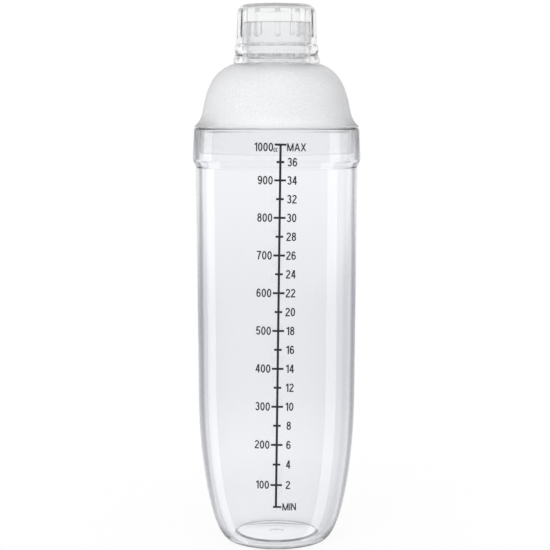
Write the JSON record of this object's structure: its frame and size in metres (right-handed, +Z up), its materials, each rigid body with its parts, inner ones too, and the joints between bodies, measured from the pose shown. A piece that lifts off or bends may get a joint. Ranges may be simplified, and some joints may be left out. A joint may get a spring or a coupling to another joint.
{
  "type": "boba shaker cup",
  "caption": "Tall clear plastic shaker cup with a rounded base and collared mouth, closed by a frosted plug-in strainer lid with a pouring neck and a clear fluted push-on cap.",
  "frame": {"origin": "centre of the foot ring, on the surface that the cup stands on", "axes": "+Z up along the axis that all three pieces are turned about; -Y is the front, which carries the printed measuring scale"},
  "size_m": [0.0906, 0.0906, 0.2923],
  "materials": {
    "clear_plastic": "clear moulded plastic, polished inside and out, with a faint cool tint in its thickness",
    "frosted_plastic": "the same plastic with a fine spark-eroded frost on the outside of the dome; neck, plug and inside only half polished",
    "scale_ink": "black screen-printed ink of the measuring scale on the front of the cup"
  },
  "bodies": {
    "cup": {"cup": "clear_plastic"},
    "strainer_lid": {"strainer_lid": "frosted_plastic"},
    "cap": {"cap": "clear_plastic"}
  },
  "joints": [
    {"name": "lid_lift", "type": "slide", "parent": "cup", "child": "strainer_lid", "axis": [0, 0, 1], "range_m": [0, 0.06]},
    {"name": "cap_lift", "type": "slide", "parent": "strainer_lid", "child": "cap", "axis": [0, 0, 1], "range_m": [0, 0.05]}
  ]
}
